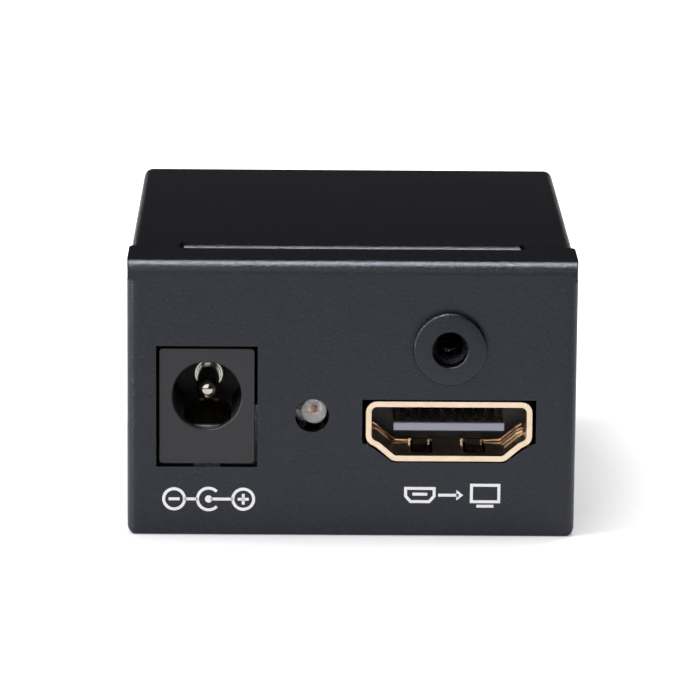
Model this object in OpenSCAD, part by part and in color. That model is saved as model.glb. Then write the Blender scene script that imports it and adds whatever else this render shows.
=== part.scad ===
// Video line extender in a folded steel case: a power jack, an indicator, a locking screw post
// and a video port on the front panel, and a second post and port on the rear panel.
// X runs to the right, Y to the rear and Z up. The origin lies under the middle of the case.

/* [Case] */
// Width across the front panel
case_w = 40.8; // [40:0.4:60]
// Depth from the front panel to the rear panel
case_d = 44.6; // [43:0.5:80]
// Height of the closed case
case_h = 25.5; // [24:0.5:40]
// Thickness of the steel sheet
sheet_t = 0.8; // [0.6:0.1:1]
// Inside radius of the folds along the panels
fold_in_r = 0.4; // [0.3:0.1:0.6]
// Inside radius of the folds at the sides of the front panel
side_in_r = 0.2; // [0.1:0.1:0.3]
// Radius of the lower corners of the front panel
corner_r = 0.9; // [0.4:0.1:1]
// Depth of the front lip at its two ends
lip_len = 7; // [6:0.5:10]
// Depth of the shallow recess along the middle of the front lip
lip_recess = 1.1; // [0.6:0.1:1.6]
// Depth of the rear lip, which carries the cover
rear_lip_len = 5; // [3:0.5:8]
// Depth of the flanges that are folded in under the front and rear panels
foot_len = 4; // [3:0.5:5]

/* [Cover] */
// How far each side of the cover stands in from the side of the front panel
cover_inset = 0.1; // [0:0.05:0.3]
// Gap in the seams between the cover and the front lip
seam_gap = 0.1; // [0.05:0.05:0.2]
// Width of the flange that is folded down along the cover's front edge
flange_w = 30.8; // [20:0.4:34]
// Outside radius of that fold
flange_r = 1.6; // [1.2:0.1:2]
// Height of the flat part of that flange
flange_h = 2.2; // [1:0.2:4]
// Gap between the flange and the front lip
flange_gap = 0.4; // [0.2:0.1:0.6]

/* [Cover screws] */
// Distance from the front panel to the front pair of screws
screw_front = 13.5; // [13:0.5:16]
// Distance from the rear panel to the rear pair of screws
screw_rear = 7.5; // [7:0.5:10]
// Height of the screws above the floor's underside
screw_h = 3; // [2.8:0.05:3.1]
// Diameter of the screw's thread
screw_d = 2; // [1.6:0.1:2.2]
// Diameter of the screw's flat head
screw_head_d = 3.6; // [3:0.1:4]
// Length of the screw
screw_len = 3; // [2.6:0.1:3.2]

/* [Board] */
// Gap between the circuit board and the collars of the side tabs
board_side_gap = 0.1; // [0.1:0.1:1]
// Gap between the circuit board and the front and rear panels
board_end_gap = 0.7; // [0.4:0.1:1.5]
// Thickness of the circuit board
board_t = 1.6; // [1.2:0.2:2]
// Height of the standoffs above the floor
standoff_h = 4.1; // [4:0.1:6]
// Diameter of the standoffs
standoff_d = 4.8; // [4:0.2:5]

/* [Power jack] */
// Place of the jack's axis, as a share of the panel's left half
jack_place_share = 0.6446; // [0.62:0.005:0.66]
// Width of the jack's housing
jack_w = 8.6; // [8.4:0.1:9.2]
// Height of the jack's housing
jack_h = 10.85; // [10.2:0.05:11.6]
// Height of the jack's axis above the board
jack_axis_h = 6.5; // [6:0.1:7]
// Length of the jack's housing
jack_len = 11.8; // [11:0.2:13]
// Diameter of the jack's socket
socket_d = 6.3; // [6:0.1:6.5]
// Diameter of the jack's centre pin
pin_d = 2; // [1.6:0.1:2.2]

/* [Indicator] */
// Place of the indicator's axis, as a share of the panel's left half
lamp_place_share = 0.1765; // [0.16:0.005:0.19]
// Height of the indicator's axis above the board
lamp_axis_h = 4.75; // [3:0.25:6]
// Diameter of the indicator's lens
lamp_d = 3; // [2.6:0.1:3.4]

/* [Video ports] */
// Place of the port's axis, as a share of the panel's right half
port_place_share = 0.4338; // [0.42:0.005:0.45]
// Height of the port's axis above the board
port_axis_h = 3.35; // [3.2:0.05:4]
// Width of the port's opening
port_w = 14.1; // [13.6:0.1:14.6]
// Height of the port's opening
port_h = 4.55; // [4.4:0.05:4.8]
// Thickness of the port's sheet shell
shell_t = 0.3; // [0.2:0.05:0.35]
// Thickness of the rim around the port's mouth
rim_t = 0.5; // [0.4:0.05:0.6]
// Length of the port's shell
shell_len = 10.2; // [9.6:0.2:11]
// Width of the tongue that carries the contacts
tongue_w = 10.05; // [9.9:0.05:10.4]
// Distance between neighbouring contacts of one row
contact_pitch = 1; // [0.95:0.01:1]

/* [Lock posts] */
// Gap under the post, as a share of the height left free between the port's rim and the rear lip
post_place_share = 0.3631; // [0.3:0.01:0.6]
// Diameter of the post
post_d = 6.7; // [6:0.1:7]
// How far the post stands out of the panel
post_out = 0.8; // [0.4:0.1:1.2]
// Length of the post behind the panel's outer face
post_in = 5; // [3:0.5:7]
// Diameter of the plain entry in front of the thread
post_entry_d = 3.2; // [3.1:0.1:3.6]
// Length of the thread
post_thread_len = 4; // [2:0.5:5]
// Diameter of the threaded hole, at the tips of its thread
post_bore_d = 2.5; // [2:0.1:2.6]

/* [Hidden] */
$fn = 48;

// Overrun of every cut past the face that it opens
over = 0.5;
// Slip clearance between pieces that fit into each other
slip = 0.02;

// Places of the panels and of the folds
front_y = -case_d / 2;
rear_y = case_d / 2;
panel_half = case_w / 2;
fold_r = fold_in_r + sheet_t;
foot_edge_r = 0.25;
side_r = side_in_r + sheet_t;
// Step at each end of the top fold, and height of the flat strip under it
fold_step = 0.15;
strip_h = 0.6;
// Relief between a fold and the edge beside it
relief = 0.3;
lip_corner_r = 0.5;
recess_corner_r = 0.5;

// Cover
cover_half = panel_half - cover_inset;
cover_in_r = 0.1;
cover_r = cover_in_r + sheet_t;
cover_foot = 0.2;
cover_front = front_y + lip_len + seam_gap;
flange_nick = 0.4;
recess_half = flange_w / 2 + flange_nick;
flange_fold_y = front_y + lip_len - lip_recess + flange_gap + flange_r;

// Floor, rear panel and the tabs for the cover screws
inner_half = cover_half - sheet_t - seam_gap;
rear_top = case_h - sheet_t - seam_gap;
tab_w = 8;
tab_h = 6.2;
tab_collar_r = screw_d / 2 + 0.7 * sheet_t;
tab_places = [[1, front_y + screw_front], [1, rear_y - screw_rear],
    [-1, front_y + screw_front], [-1, rear_y - screw_rear]];
screw_gap = 0.1;

// Board and what holds it
board_w = 2 * (inner_half - 2 * sheet_t - board_side_gap);
board_d = case_d - 2 * (sheet_t + board_end_gap);
board_top = sheet_t + standoff_h + board_t;
board_corner_r = 1;
standoff_bore_d = 2;
standoff_stud_d = 3.8;
standoff_stud_recess = 0.05;
board_hole_d = 2.3;
board_screw_d = 1.96;
board_screw_len = 4;
board_head_d = 3.8;
board_head_h = 1.3;
// Distances of the standoffs from the board's sides and from the rear panel's foot, and of the screw
// heads from the rear ends of the jack and the ports
standoff_inset = 3.7;
foot_gap = 0.3;
head_gap = 0.5;

// Power jack, measured from the middle of its face
jack_x = jack_place_share * panel_half;
jack_recess = 0.2;
jack_y = front_y + jack_recess;
jack_z = board_top + jack_axis_h;
jack_gap = 0.3;
jack_sill = 0.2;
jack_edge_r = 0.3;
jack_flange_len = 3.2;
jack_shoulder = 0.2;
jack_barrel_r = jack_w / 2 - jack_shoulder;
socket_len = 9.6;
socket_lead = 0.1;
pin_recess = 2;
pin_collar_r = 1.45;
pin_collar_len = 1;
pin_rivet_r = 1.6;
pin_rivet_len = 0.5;
terminal_t = 0.4;
terminal_w = 2.4;
terminal_rise = 1.9;
terminal_tail = 0.8;
leaf_w = 3.9;
leaf_t = 0.25;
leaf_root_y = 1.5;
leaf_root_drop = 3.1;
leaf_crest_y = 6.2;
leaf_crest_drop = 1.85;
leaf_end_y = 9.2;
leaf_end_drop = 3.4;
leaf_pad_len = 1.2;
leaf_gap = 0.06;
leaf_slot_w = leaf_w + 0.1 * leaf_w;
leaf_slot_y = 0.9;
switch_w = 1;
board_slot_gap = 0.15;

// Indicator, measured from the tip of its lens
lamp_x = lamp_place_share * panel_half;
lamp_recess = 0.1;
lamp_y = front_y + lamp_recess;
lamp_z = board_top + lamp_axis_h;
lamp_gap = 0.05;
lamp_len = 5.3;
lamp_flange_d = 3.8;
lamp_flange_len = 1;
lead_t = 0.5;
lead_pitch = 1.9;
lead_top = 2.2;
cup_w = 1.1;
cup_len = 0.9;
cup_r = 0.42;
cup_depth = 0.3;
lead_bend_y = 6.9;
lead_tail = 1;

// Video port, measured from the middle of its mouth
port_x = port_place_share * panel_half;
port_proud = 0.1;
port_z = board_top + port_axis_h;
port_base_inset = 2.15;
port_knee_inset = 0.75;
port_base_w = port_w - 2 * port_base_inset;
port_knee_w = port_w - 2 * port_knee_inset;
port_knee_rise = 1.2;
port_shoulder_rise = 1.58;
port_top_r = 0.5;
port_low_r = 0.5;
rim_len = 0.6;
port_cut_gap = 0.15;
port_cut_side = 0.2;
port_leg_w = 1.6;
port_leg_ys = [2.2, 8];
port_leg_tail = 0.8;
cavity_len = 6.8;
block_back_t = 1.2;
tongue_t = 0.84;
tongue_rise = 0.3;
tongue_lip_gap = 0.05;
tongue_recess = 0.6;
tongue_bevel = 0.13;
contact_w = 0.45;
contact_t = 0.12;
contact_recess = 0.35;
contact_foot = 0.8;
contact_air = 0.1;
upper_contacts = 10;
lower_contacts = 9;
contact_down = shell_len + block_back_t + contact_air + contact_t / 2;
row_w = (upper_contacts - 1) * contact_pitch + contact_w + 2 * contact_air;
spring_t = 0.2;
spring_w = 1.5;
spring_at = 2.4;
spring_root_y = 7.4;
spring_flat_y = 4.4;
spring_crest_y = 2.9;
spring_tip_y = 1.9;
spring_crest = 0.35;
spring_gap = 0.06;
window_w = 2;
window_front = 1.4;

// Lock posts
post_edge_r = 0.25;
post_shank_d = 5.5;
post_hole_gap = 0.05;
post_collar_d = 6.4;
post_collar_t = 0.6;
post_barrel_d = 4.6;
post_mouth = 0.25;
rim_top = port_z + port_h / 2 + rim_t;
post_room = rear_top - sheet_t - rim_top - post_d;
post_z = rim_top + post_d / 2 + post_place_share * post_room;

// Places of the standoffs: behind the jack and the ports, and at the left rear
jack_end = jack_y + jack_len + terminal_t + pin_rivet_len;
port_end = front_y - port_proud + contact_down + contact_foot;
standoff_x = board_w / 2 - standoff_inset;
head_step = head_gap + board_head_d / 2;
standoff_places = [[-standoff_x, jack_end + head_step], [standoff_x, port_end + head_step],
    [-standoff_x, rear_y - foot_len - foot_gap - standoff_d / 2],
    [standoff_x, -port_end - head_step]];

// Circuit parts, with their places as shares of half the board's width and depth
chip_w = 7;
chip_t = 1;
chip_stand = 0.1;
chip_edge = 0.2;
chip_place_share = [0.37, 0];
chip_lead_w = 0.22;
chip_lead_t = 0.12;
chip_lead_pitch = 0.5;
chip_leads_a_side = 11;
chip_lead_len = 0.9;
regulator_w = 6.5;
regulator_d = 3.5;
regulator_t = 1.6;
regulator_place_share = [-0.51, 0];
regulator_lead_w = 0.7;
regulator_lead_t = 0.26;
regulator_lead_len = 1.75;
regulator_lead_pitch = 2.3;
regulator_tab_w = 3;
can_d = 5;
can_h = 5.4;
can_base_w = 5.3;
can_base_h = 0.8;
can_edge_r = 0.5;
can_place_shares = [[-0.63, 0.42], [-0.205, 0.52]];
bypass_l = 1.6;
bypass_w = 0.8;
bypass_t = 0.8;
bypass_place_shares = [[-0.16, -0.26], [-0.16, -0.08], [-0.16, 0.1], [-0.16, 0.28],
    [-0.515, 0.66], [-0.45, 0.66], [-0.89, 0.2], [0.93, 0]];
resistor_l = 1.2;
resistor_w = 0.7;
resistor_t = 0.35;
resistor_place_shares = [for (x = [0.03, -0.06], y = [-0.26, -0.15, -0.04, 0.07, 0.18, 0.29]) [x, y]];
end_l = 0.3;
array_w = 2.5;
array_d = 1;
array_t = 0.5;
array_place_shares = [[0.2, -0.315], [0.46, -0.315], [0.2, 0.315], [0.46, 0.315]];
inductor_w = 4;
inductor_t = 1.9;
inductor_core_d = 3.2;
inductor_flange_t = 0.4;
inductor_place_share = [-0.33, 0.84];
diode_l = 4.3;
diode_w = 2.6;
diode_t = 2;
diode_place_share = [-0.18, -0.5];
fuse_l = 3.2;
fuse_w = 1.6;
fuse_t = 0.6;
fuse_place_share = [-0.18, -0.36];
crystal_l = 3.2;
crystal_w = 2.5;
crystal_t = 0.8;
crystal_place_share = [0.8, 0];

// Box between two opposite corners
module span(low, high) {
    translate(low) cube(high - low);
}

// Flat outline in X and Z, run back from y over a length
module run_back(y, length) {
    translate([0, y + length, 0]) rotate([90, 0, 0]) linear_extrude(length) children();
}

// Flat outline in Y and Z, run across X to both sides of its middle
module run_across(width) {
    translate([-width / 2, 0, 0]) rotate([90, 0, 90]) linear_extrude(width) children();
}

// Quarter fold of sheet with its axis along X, from an angle that counts from the rear upward
module fold_x(width, in_r, from) {
    translate([-width / 2, 0, 0]) rotate([90, 0, 90]) rotate([0, 0, from])
        rotate_extrude(angle = 90) translate([in_r, 0]) square([sheet_t, width]);
}

// Quarter fold of sheet with its axis along Y, from an angle that counts from the right upward
module fold_y(length, in_r, from) {
    translate([0, length / 2, 0]) rotate([90, 0, 0]) rotate([0, 0, from])
        rotate_extrude(angle = 90) translate([in_r, 0]) square([sheet_t, length]);
}

// Quarter fold of sheet that stands upright, from an angle that counts from the right to the rear
module fold_z(height, in_r, from) {
    rotate([0, 0, from]) rotate_extrude(angle = 90) translate([in_r, 0]) square([sheet_t, height]);
}

// Unit step from one point towards another, and the same turned to the left
function way(a, b) = (b - a) / norm(b - a);
function left_of(a, b) = let (w = way(a, b)) [-w[1], w[0]];

// Corner b moved to the left by g, so that both steps that meet there keep their distance
function mitre(a, b, c, g) = let (m = left_of(a, b), n = left_of(b, c)) b + g * (m + n) / (1 + m * n);

// Open path moved to the left by g
function side_line(path, g) = let (last = len(path) - 1) [
    for (i = [0 : last])
        i == 0 ? path[0] + g * left_of(path[0], path[1])
        : i == last ? path[last] + g * left_of(path[last - 1], path[last])
        : mitre(path[i - 1], path[i], path[i + 1], g)
];

// Closed outline of a strip of one thickness along a path
function strip_outline(path, t) = let (back = side_line(path, -t / 2), last = len(path) - 1)
    concat(side_line(path, t / 2), [for (i = [last : -1 : 0]) back[i]]);

// Closed outline, counter-clockwise, grown by g on all sides
function grown(points, g) = let (n = len(points)) [
    for (i = [0 : n - 1]) mitre(points[(i + n - 1) % n], points[i], points[(i + 1) % n], -g)
];

// Arc that turns the corner b between the sides to a and c
function corner_arc(a, b, c, r) = let (
        u = way(b, a), v = way(b, c), half = acos(u * v) / 2,
        mid = b + (u + v) / norm(u + v) * r / sin(half),
        first = b + u * r / tan(half) - mid,
        turn = cross(b - a, c - b) > 0 ? 180 - 2 * half : 2 * half - 180,
        start = atan2(first[1], first[0]), steps = 5)
    [for (i = [0 : steps]) mid + r * [cos(start + turn * i / steps), sin(start + turn * i / steps)]];

// Closed outline with each corner rounded by its own radius, or left sharp at 0
function rounded(points, radii) = let (n = len(points)) [
    for (i = [0 : n - 1])
        each radii[i] > 0
            ? corner_arc(points[(i + n - 1) % n], points[i], points[(i + 1) % n], radii[i])
            : [points[i]]
];

// Fold at the foot of the front panel, pressed tight, so that its edge is nearly sharp
module tight_fold(width) {
    translate([-width / 2, front_y, 0]) rotate([90, 0, 90]) linear_extrude(width)
        polygon(rounded([[0, fold_r], [0, 0], [fold_r, 0], [fold_r, sheet_t], [sheet_t, sheet_t],
            [sheet_t, fold_r]], [0, foot_edge_r, 0, 0, 0, 0]));
}

// Sheet of the front panel: its face, lip and two side flanges, and the folds between them
module front_sheet() {
    strip_z = case_h - fold_r - strip_h;
    tight_fold(case_w);
    span([-panel_half + side_r, front_y, 2 * foot_edge_r],
        [panel_half - side_r, front_y + sheet_t, strip_z]);
    span([-panel_half + fold_step, front_y, strip_z],
        [panel_half - fold_step, front_y + sheet_t, case_h - fold_r]);
    translate([0, front_y + fold_r, case_h - fold_r]) fold_x(case_w - 2 * fold_step, fold_in_r, 90);
    front_lip();
    for (side = [-1, 1]) {
        translate([side * (panel_half - side_r), front_y + side_r, fold_r])
            fold_z(strip_z - fold_r, side_in_r, side > 0 ? 270 : 180);
        outer_x = side * panel_half;
        inner_x = side * (panel_half - sheet_t);
        span([min(outer_x, inner_x), front_y + side_r, fold_r],
            [max(outer_x, inner_x), front_y + fold_r + relief + over, strip_z]);
        span([min(outer_x, inner_x), front_y + fold_r + relief, 0],
            [max(outer_x, inner_x), front_y + lip_len, case_h - sheet_t - seam_gap]);
    }
}

// Lip with rounded rear corners and a shallow recess for the cover's flange
module front_lip() {
    y0 = front_y + fold_r;
    y1 = front_y + lip_len - lip_recess;
    y2 = front_y + lip_len;
    translate([0, 0, case_h - sheet_t]) linear_extrude(sheet_t) polygon(rounded(
        [[-panel_half, y0], [panel_half, y0], [panel_half, y2], [recess_half, y2],
            [recess_half, y1], [-recess_half, y1], [-recess_half, y2], [-panel_half, y2]],
        [0, 0, lip_corner_r, recess_corner_r, recess_corner_r, recess_corner_r, recess_corner_r,
            lip_corner_r]));
}

// What is cut from the right lower corner of the front panel and its side flange: one rounding
// along Y, and one upright that carries the side fold down through the lower fold
module lower_corner_cut() {
    translate([panel_half - corner_r, front_y - over, corner_r]) difference() {
        span([0, 0, -corner_r - over], [corner_r + over, lip_len + 2 * over, 0]);
        rotate([-90, 0, 0]) translate([0, 0, -over]) cylinder(r = corner_r, h = lip_len + 4 * over);
    }
    translate([panel_half - side_r, front_y + side_r, -over]) difference() {
        span([0, -side_r - over, 0], [side_r + over, 0, fold_r + over]);
        translate([0, 0, -over]) cylinder(r = side_r, h = fold_r + 3 * over);
    }
}

// Notches around the four tabs in the floor's side edges
module tab_notches() {
    for (p = tab_places)
        translate([p[0] * (inner_half - fold_r / 2 + over / 2), p[1], 0])
            cube([fold_r + over, tab_w + 2 * relief, 4 * sheet_t], center = true);
}

// Tab folded up from the floor, with a drawn and tapped collar for one cover screw
module cover_tab(side) {
    plate_x = inner_half - sheet_t;
    mirror([side > 0 ? 0 : 1, 0, 0]) difference() {
        union() {
            translate([inner_half - fold_r, 0, fold_r]) fold_y(tab_w, fold_in_r, 270);
            span([plate_x, -tab_w / 2, fold_r], [inner_half, tab_w / 2, tab_h]);
            translate([plate_x - sheet_t, 0, screw_h]) rotate([0, 90, 0])
                cylinder(r = tab_collar_r, h = 2 * sheet_t);
        }
        translate([plate_x - sheet_t - over, 0, screw_h]) rotate([0, 90, 0])
            cylinder(d = screw_d, h = 2 * sheet_t + 2 * over);
    }
}

// Outline of that opening before it is grown: the port's, drawn out a little to its sides
function port_cut_points() = [
    for (p = port_points())
        abs(p[0]) < port_knee_w / 2 - over ? p : p + [(p[0] > 0 ? 1 : -1) * port_cut_side, 0]
];

// Opening in a panel around the mouth of a port
module port_cut(y) {
    translate([port_x, 0, port_z]) run_back(y - sheet_t - over, 2 * sheet_t + 2 * over)
        polygon(grown(port_cut_points(), rim_t + port_cut_gap));
}

// Round hole in a panel for the shank of a lock post
module post_cut(y) {
    translate([port_x, y, post_z]) rotate([90, 0, 0])
        cylinder(d = post_shank_d + 2 * post_hole_gap, h = 4 * sheet_t, center = true);
}

module front_panel() {
    color("#2e2f33") difference() {
        union() {
            front_sheet();
            span([-inner_half, front_y + 2 * foot_edge_r, 0],
                [inner_half, front_y + foot_len, sheet_t]);
        }
        lower_corner_cut();
        mirror([1, 0, 0]) lower_corner_cut();
        tab_notches();
        port_cut(front_y);
        post_cut(front_y);
        span([-jack_x - jack_w / 2 - jack_gap, front_y - over, board_top + jack_sill - jack_gap],
            [-jack_x + jack_w / 2 + jack_gap, front_y + sheet_t + over,
                board_top + jack_h + jack_gap]);
        translate([-lamp_x, front_y, lamp_z]) rotate([90, 0, 0])
            cylinder(d = lamp_d + 2 * lamp_gap, h = 4 * sheet_t, center = true);
    }
}

// Floor between the feet of the two panels, with its tabs and the holes for the standoffs
module floor_pan() {
    color("#2e2f33") {
        difference() {
            span([-inner_half, front_y + foot_len, 0], [inner_half, rear_y - foot_len, sheet_t]);
            tab_notches();
            for (p = standoff_places)
                translate([p[0], p[1], -over])
                    cylinder(d = standoff_stud_d + 2 * slip, h = sheet_t + 2 * over);
        }
        for (p = tab_places) translate([0, p[1], 0]) cover_tab(p[0]);
    }
}

// Rear panel with a foot folded in below and a lip above
module rear_panel() {
    rear_w = 2 * inner_half;
    color("#2e2f33") difference() {
        union() {
            span([-inner_half, rear_y - foot_len, 0], [inner_half, rear_y - fold_r, sheet_t]);
            translate([0, rear_y - fold_r, fold_r]) fold_x(rear_w, fold_in_r, 270);
            span([-inner_half, rear_y - sheet_t, fold_r], [inner_half, rear_y, rear_top - fold_r]);
            translate([0, rear_y - fold_r, rear_top - fold_r]) fold_x(rear_w, fold_in_r, 0);
            span([-inner_half, rear_y - rear_lip_len, rear_top - sheet_t],
                [inner_half, rear_y - fold_r, rear_top]);
        }
        tab_notches();
        port_cut(rear_y);
        post_cut(rear_y);
    }
}

// Cover with two plain sides and a flange folded down along the middle of its front edge
module cover() {
    top_half = cover_half - cover_r;
    length = rear_y - cover_front;
    color("#26272b") difference() {
        union() {
            translate([0, 0, case_h - sheet_t]) linear_extrude(sheet_t) polygon([
                [-top_half, cover_front], [-recess_half, cover_front],
                [-recess_half, flange_fold_y + relief], [-flange_w / 2, flange_fold_y + relief],
                [-flange_w / 2, flange_fold_y], [flange_w / 2, flange_fold_y],
                [flange_w / 2, flange_fold_y + relief], [recess_half, flange_fold_y + relief],
                [recess_half, cover_front], [top_half, cover_front],
                [top_half, rear_y], [-top_half, rear_y]]);
            translate([0, flange_fold_y, case_h - flange_r]) fold_x(flange_w, flange_r - sheet_t, 90);
            span([-flange_w / 2, flange_fold_y - flange_r, case_h - flange_r - flange_h],
                [flange_w / 2, flange_fold_y - flange_r + sheet_t, case_h - flange_r]);
            for (side = [-1, 1]) {
                translate([side * top_half, (cover_front + rear_y) / 2, case_h - cover_r])
                    fold_y(length, cover_in_r, side > 0 ? 0 : 90);
                translate([side * (cover_half - sheet_t / 2) - sheet_t / 2, cover_front, cover_foot])
                    cube([sheet_t, length, case_h - cover_r - cover_foot]);
            }
        }
        for (p = tab_places) translate([p[0] * cover_half, p[1], screw_h])
            rotate([0, 90 * p[0], 0]) {
                translate([0, 0, -2 * sheet_t])
                    cylinder(d = screw_d + 2 * screw_gap, h = 4 * sheet_t);
                translate([0, 0, -sheet_t])
                    cylinder(d1 = screw_d + 2 * screw_gap, d2 = screw_head_d + 2 * screw_gap,
                        h = sheet_t);
            }
    }
}

// Cross-shaped drive recess, cut down from the top of a head
module cross_recess(width, depth) {
    for (turn = [0, 90]) rotate([0, 0, turn])
        translate([-width / 2, -width / 10, -depth]) cube([width, width / 5, depth + over]);
}

// Flat-head screw with its top at 0 and its point downwards
module cover_screw() {
    seat = sheet_t - screw_gap;
    difference() {
        union() {
            translate([0, 0, -seat]) cylinder(d1 = screw_d, d2 = screw_head_d, h = seat);
            translate([0, 0, -screw_len]) cylinder(d = screw_d - 2 * slip, h = screw_len - seat / 2);
        }
        cross_recess(screw_head_d * 0.6, seat * 0.8);
    }
}

module cover_screws() {
    color("#1b1b1d") for (p = tab_places)
        translate([p[0] * (cover_half - screw_gap / 2), p[1], screw_h])
            rotate([0, 90 * p[0], 0]) cover_screw();
}

// Threaded post, riveted into its panel, with its axis along Z and the panel's outer face at 0
module lock_post() {
    post_r = post_d / 2;
    bore_r = post_bore_d / 2;
    entry_r = post_entry_d / 2;
    thread_top = post_thread_len - post_in;
    edge = [for (a = [0 : 15 : 90])
        [post_r - post_edge_r + post_edge_r * cos(a), post_out - post_edge_r + post_edge_r * sin(a)]];
    rotate_extrude() polygon(concat(
        [[bore_r, -post_in], [post_barrel_d / 2, -post_in],
            [post_barrel_d / 2, -sheet_t - post_collar_t], [post_collar_d / 2, -sheet_t - post_collar_t],
            [post_collar_d / 2, -sheet_t], [post_shank_d / 2, -sheet_t], [post_shank_d / 2, 0],
            [post_r, 0]],
        edge,
        [[entry_r + post_mouth, post_out], [entry_r, post_out - post_mouth],
            [entry_r, thread_top + entry_r - bore_r], [bore_r, thread_top]]));
}

module front_lock_post() {
    color("#2e2f33") translate([port_x, front_y, post_z]) rotate([90, 0, 0]) lock_post();
}

module rear_lock_post() {
    color("#2e2f33") translate([port_x, rear_y, post_z]) rotate([-90, 0, 0]) lock_post();
}

// Standoffs clinched into the floor, each with a blind tapped hole
module board_standoffs() {
    floor_skin = sheet_t;
    color("#c9c9c4") for (p = standoff_places) translate([p[0], p[1], 0]) difference() {
        union() {
            translate([0, 0, standoff_stud_recess])
                cylinder(d = standoff_stud_d, h = sheet_t - standoff_stud_recess);
            translate([0, 0, sheet_t]) cylinder(d = standoff_d, h = standoff_h);
        }
        translate([0, 0, floor_skin]) cylinder(d = standoff_bore_d, h = standoff_h + over);
    }
}

module board_screws() {
    color("#b9bbbe") for (p = standoff_places) translate([p[0], p[1], board_top]) difference() {
        union() {
            translate([0, 0, -board_screw_len]) cylinder(d = board_screw_d, h = board_screw_len);
            cylinder(d = board_head_d, h = board_head_h / 2);
            translate([0, 0, board_head_h / 2])
                cylinder(d1 = board_head_d, d2 = board_head_d * 0.7, h = board_head_h / 2);
        }
        translate([0, 0, board_head_h]) cross_recess(board_head_d * 0.55, board_head_h * 0.6);
    }
}

// Slot through the board for a flat terminal
module board_slot(x, y, w, d) {
    translate([x, y, board_top - board_t / 2])
        cube([w + 2 * board_slot_gap, d + 2 * board_slot_gap, board_t + 2 * over], center = true);
}

module circuit_board() {
    half_w = board_w / 2;
    half_d = board_d / 2;
    color("#1f5136") difference() {
        translate([0, 0, board_top - board_t]) linear_extrude(board_t) polygon(rounded(
            [[-half_w, -half_d], [half_w, -half_d], [half_w, half_d], [-half_w, half_d]],
            [board_corner_r, board_corner_r, board_corner_r, board_corner_r]));
        for (p = standoff_places)
            translate([p[0], p[1], board_top - board_t - over])
                cylinder(d = board_hole_d, h = board_t + 2 * over);
        board_slot(-jack_x, jack_y + leaf_terminal_y(), terminal_w, terminal_t);
        board_slot(-jack_x, jack_y + jack_len + terminal_t / 2, terminal_w, terminal_t);
        board_slot(-jack_x + switch_x(), jack_y + switch_y(), terminal_t, switch_w);
        for (side = [-1, 1])
            board_slot(-lamp_x + side * lead_pitch / 2, lamp_y + lead_bend_y, lead_t, lead_t);
        for (side = [-1, 1], y = port_leg_ys) {
            board_slot(port_x + side * (port_w + shell_t) / 2, front_y - port_proud + y,
                shell_t, port_leg_w);
            board_slot(port_x + side * (port_w + shell_t) / 2, rear_y + port_proud - y,
                shell_t, port_leg_w);
        }
    }
}

// Places of the jack's terminals behind its face, and beside its axis
function leaf_terminal_y() = leaf_slot_y + terminal_t / 2 + leaf_gap;
function switch_y() = leaf_end_y - leaf_pad_len / 2 + leaf_t;
function switch_x() = jack_barrel_r + terminal_t / 2 + leaf_gap;

// Housing with a round socket, a slot under it for the leaf and a riveted rear wall
module jack_housing() {
    low = -jack_axis_h;
    high = jack_h - jack_axis_h;
    half = jack_w / 2;
    base_half = jack_barrel_r;
    color("#2a2a2e") translate([-jack_x, jack_y, jack_z]) difference() {
        union() {
            run_back(0, jack_flange_len) polygon(rounded(
                [[-half, low + jack_sill], [half, low + jack_sill], [half, high], [-half, high]],
                [jack_edge_r, jack_edge_r, jack_edge_r, jack_edge_r]));
            translate([0, jack_flange_len / 2, 0]) rotate([-90, 0, 0])
                cylinder(r = jack_barrel_r, h = jack_len - jack_flange_len / 2);
            span([-base_half, jack_flange_len, low], [base_half, jack_len, 0]);
        }
        translate([0, -over, 0]) rotate([-90, 0, 0]) cylinder(d = socket_d, h = socket_len + over);
        rotate([-90, 0, 0]) cylinder(d1 = socket_d + 2 * socket_lead, d2 = socket_d, h = socket_lead);
        span([-leaf_slot_w / 2, leaf_slot_y, low - over], [leaf_slot_w / 2, socket_len, 0]);
        rotate([-90, 0, 0]) cylinder(d = pin_d + 2 * slip, h = jack_len + over);
        span([0, switch_y() - switch_w / 2 - leaf_gap, -switch_drop() - terminal_t - leaf_gap],
            [base_half + over, switch_y() + switch_w / 2 + leaf_gap, -switch_drop() + leaf_gap]);
    }
}

// Height of the switch contact's top face below the jack's axis
function switch_drop() = leaf_end_drop - leaf_t / 2 - leaf_gap - terminal_t;

// Centre pin with a rounded tip, a collar at the rear wall and a rivet head behind it
module jack_pin() {
    r = pin_d / 2;
    back = jack_len + terminal_t;
    color("#d8d3c4") translate([-jack_x, jack_y, jack_z]) rotate([-90, 0, 0]) {
        translate([0, 0, pin_recess + r / 2]) cylinder(r = r, h = back - pin_recess - r / 2);
        translate([0, 0, pin_recess]) cylinder(r1 = r / 2, r2 = r, h = r / 2);
        translate([0, 0, socket_len - pin_collar_len]) cylinder(r = pin_collar_r, h = pin_collar_len);
        translate([0, 0, back]) cylinder(r1 = pin_rivet_r, r2 = pin_rivet_r / 2, h = pin_rivet_len);
    }
}

// Flat terminal held between the housing's rear wall and the pin's rivet head
module jack_pin_terminal() {
    color("#c9c4b4") translate([-jack_x, jack_y, jack_z]) difference() {
        span([-terminal_w / 2, jack_len, -jack_axis_h - board_t - terminal_tail],
            [terminal_w / 2, jack_len + terminal_t, terminal_rise]);
        translate([0, jack_len - over, 0]) rotate([-90, 0, 0])
            cylinder(d = pin_d + 2 * slip, h = terminal_t + 2 * over);
    }
}

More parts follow.
